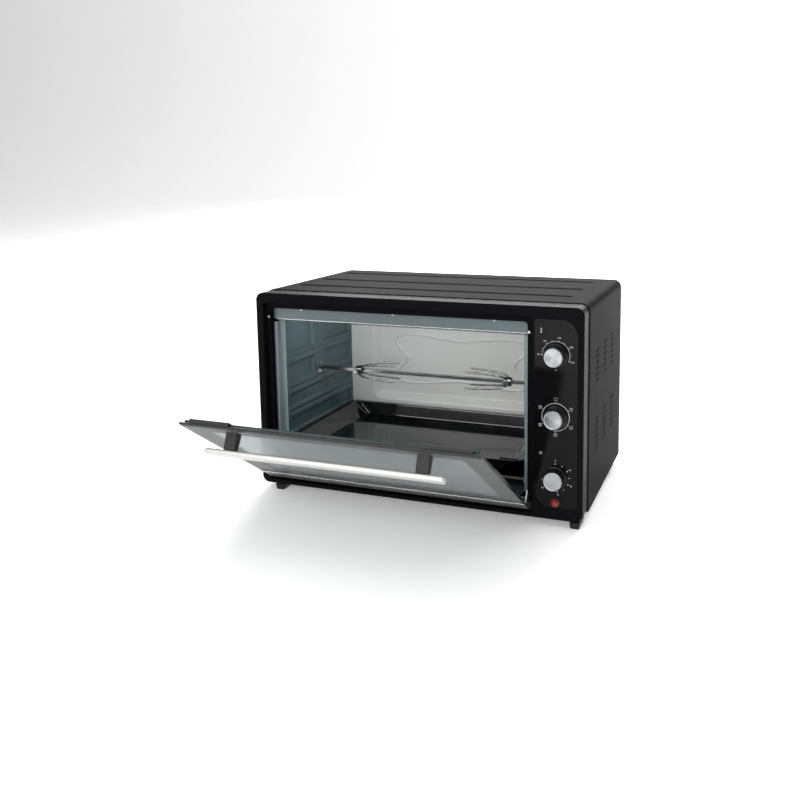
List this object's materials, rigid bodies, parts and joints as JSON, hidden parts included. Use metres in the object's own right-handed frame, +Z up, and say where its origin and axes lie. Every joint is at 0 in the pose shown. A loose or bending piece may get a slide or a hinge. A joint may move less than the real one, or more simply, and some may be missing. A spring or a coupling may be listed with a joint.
{
  "type": "rotisserie oven",
  "caption": "Countertop rotisserie oven with a drop-down glass door held open at an angle, a spit with forks, a drip tray and a column of turning knobs.",
  "frame": {"origin": "middle of the underside of the bounding box, with the door open 55 degrees from upright, on the surface that the feet stand on", "axes": "+X to the right as seen from the front, +Y towards the back, +Z up"},
  "size_m": [0.58, 0.5884, 0.353],
  "materials": {
    "casing_paint": "satin black baked paint",
    "galvanised": "plain galvanised sheet",
    "panel_gloss": "gloss black with printed dial marks",
    "black_plastic": "fine-grained black moulding",
    "cavity_enamel": "grey-blue oven coating, satin",
    "cavity_back": "pale grey oven coating, satin",
    "cavity_floor": "dark grey oven coating",
    "heater_sheath": "dull steel sheath",
    "tray_enamel": "gloss black enamel",
    "bright_steel": "bright plated steel",
    "chrome_steel": "polished plated wire",
    "rail_metal": "dark grey satin extrusion",
    "door_glass": "clear float glass with a grey printed border",
    "handle_steel": "bright brushed",
    "red_lens": "translucent red",
    "knob_cap": "spun aluminium"
  },
  "bodies": {
    "root": {"outer_casing": "casing_paint", "back_cover": "casing_paint", "front_bezel": "casing_paint", "bottom_plate": "galvanised", "control_panel": "panel_gloss", "cord_gland": "black_plastic", "foot_front_left": "black_plastic", "foot_front_right": "black_plastic", "foot_rear_left": "black_plastic", "foot_rear_right": "black_plastic", "cavity_left_wall": "cavity_enamel", "cavity_right_wall": "cavity_enamel", "cavity_ceiling": "cavity_enamel", "top_baffle": "cavity_enamel", "cavity_back_wall": "cavity_back", "cavity_floor": "cavity_floor", "heater_upper_front": "heater_sheath", "heater_upper_rear": "heater_sheath", "heater_lower_front": "heater_sheath", "heater_lower_rear": "heater_sheath", "rotisserie_motor": "galvanised", "spit_bearing_plate": "bright_steel", "hinge_pin_left": "bright_steel", "hinge_pin_right": "bright_steel", "pilot_lamp_lens": "red_lens", "pilot_lamp_holder": "black_plastic", "thermostat_body": "galvanised", "function_switch_body": "black_plastic", "timer_body": "black_plastic"},
    "door": {"hinge_arm_left": "bright_steel", "hinge_arm_right": "bright_steel", "door_bottom_rail": "rail_metal", "door_outer_glass": "door_glass", "door_inner_glass": "door_glass", "door_top_profile": "casing_paint", "door_glass_clip_left": "black_plastic", "door_glass_clip_right": "black_plastic", "handle_bar": "handle_steel", "handle_post_left": "black_plastic", "handle_post_right": "black_plastic"},
    "temperature_knob": {"temperature_knob": "black_plastic", "temperature_knob_cap": "knob_cap", "temperature_shaft": "bright_steel"},
    "function_knob": {"function_knob": "black_plastic", "function_knob_cap": "knob_cap", "function_shaft": "bright_steel"},
    "timer_knob": {"timer_knob": "black_plastic", "timer_knob_cap": "knob_cap", "timer_shaft": "bright_steel"},
    "spit": {"spit_rod": "chrome_steel", "spit_journal": "chrome_steel", "spit_drive_socket": "bright_steel"},
    "fork_left": {"spit_fork_left": "chrome_steel"},
    "fork_right": {"spit_fork_right": "chrome_steel"},
    "screw_left": {"fork_screw_left": "chrome_steel"},
    "screw_right": {"fork_screw_right": "chrome_steel"},
    "tray": {"drip_tray": "tray_enamel"}
  },
  "joints": [
    {"name": "door_hinge", "type": "hinge", "parent": "root", "child": "door", "pos_m": [0, -0.04269, 0.027], "axis": [1, 0, 0], "range_deg": [-55, 35]},
    {"name": "temperature_knob_turn", "type": "hinge", "parent": "root", "child": "temperature_knob", "pos_m": [0.2455, -0.06029, 0.277], "axis": [0, 1, 0], "range_deg": [0, 220]},
    {"name": "function_knob_turn", "type": "hinge", "parent": "root", "child": "function_knob", "pos_m": [0.2455, -0.06029, 0.1795], "axis": [0, 1, 0], "range_deg": [0, 300]},
    {"name": "timer_knob_turn", "type": "hinge", "parent": "root", "child": "timer_knob", "pos_m": [0.2455, -0.06029, 0.082], "axis": [0, 1, 0], "range_deg": [0, 285]},
    {"name": "spit_turn", "type": "hinge", "parent": "root", "child": "spit", "pos_m": [-0.0335, 0.09871, 0.19], "axis": [1, 0, 0], "continuous": true},
    {"name": "fork_left_slide", "type": "slide", "parent": "spit", "child": "fork_left", "axis": [1, 0, 0], "range_m": [-0.04, 0.06]},
    {"name": "fork_right_slide", "type": "slide", "parent": "spit", "child": "fork_right", "axis": [1, 0, 0], "range_m": [-0.06, 0.025]},
    {"name": "fork_screw_left_turn", "type": "hinge", "parent": "fork_left", "child": "screw_left", "pos_m": [-0.166, 0.08971, 0.19], "axis": [0, 1, 0], "range_deg": [0, 360]},
    {"name": "fork_screw_right_turn", "type": "hinge", "parent": "fork_right", "child": "screw_right", "pos_m": [0.124, 0.08971, 0.19], "axis": [0, 1, 0], "range_deg": [0, 360]},
    {"name": "tray_slide", "type": "slide", "parent": "root", "child": "tray", "axis": [0, -1, 0], "range_m": [0, 0.08]}
  ]
}
